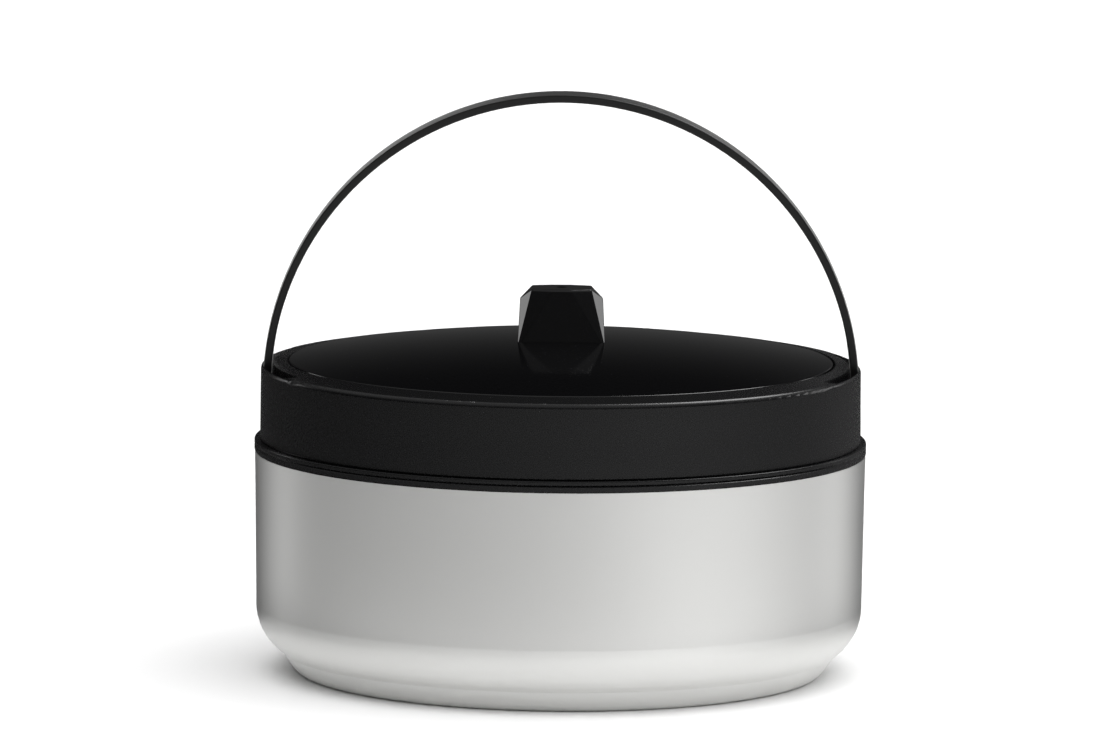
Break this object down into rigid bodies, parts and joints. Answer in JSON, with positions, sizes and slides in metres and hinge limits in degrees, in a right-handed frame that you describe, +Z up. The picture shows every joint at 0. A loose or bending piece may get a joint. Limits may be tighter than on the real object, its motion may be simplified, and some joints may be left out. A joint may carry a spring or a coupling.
{
  "type": "insulated casserole",
  "caption": "Round insulated chapati casserole: double-walled steel body, black collar, lift-off lid with a domed glossy panel and faceted knob, and a swinging band handle.",
  "frame": {"origin": "centre of the base, on the table the casserole stands on", "axes": "+Z up through the knob, the front faces -Y, and the arch of the handle spans X"},
  "size_m": [0.2404, 0.2404, 0.2288],
  "materials": {
    "satin_steel": "satin, drawn steel",
    "bowl_steel": "satin, spun steel",
    "black_plastic": "semi-matte moulding",
    "gloss_black": "polished moulding",
    "foam": "poured rigid foam",
    "silicone": "moulded silicone",
    "screw_steel": "bright zinc"
  },
  "bodies": {
    "base": {"outer_shell": "satin_steel", "foam_fill_plug": "black_plastic", "collar_ring": "black_plastic", "inner_bowl": "bowl_steel", "body_foam": "foam"},
    "lid": {"lid_cover": "black_plastic", "lid_disc": "gloss_black", "lid_foam": "foam", "lid_liner": "bowl_steel", "liner_ring": "black_plastic", "lid_gasket": "silicone", "lid_knob": "gloss_black", "knob_screws": "screw_steel", "knob_washers": "screw_steel", "handle_pin_left": "screw_steel", "handle_pin_right": "screw_steel", "pin_washer_left": "screw_steel", "pin_washer_right": "screw_steel"},
    "handle": {"carry_handle": "black_plastic"}
  },
  "joints": [
    {"name": "lid_lift", "type": "slide", "parent": "base", "child": "lid", "axis": [0, 0, 1], "range_m": [0, 0.15]},
    {"name": "handle_swing", "type": "hinge", "parent": "lid", "child": "handle", "pos_m": [0, 0, 0.1117], "axis": [1, 0, 0], "range_deg": [-66, 66]}
  ]
}
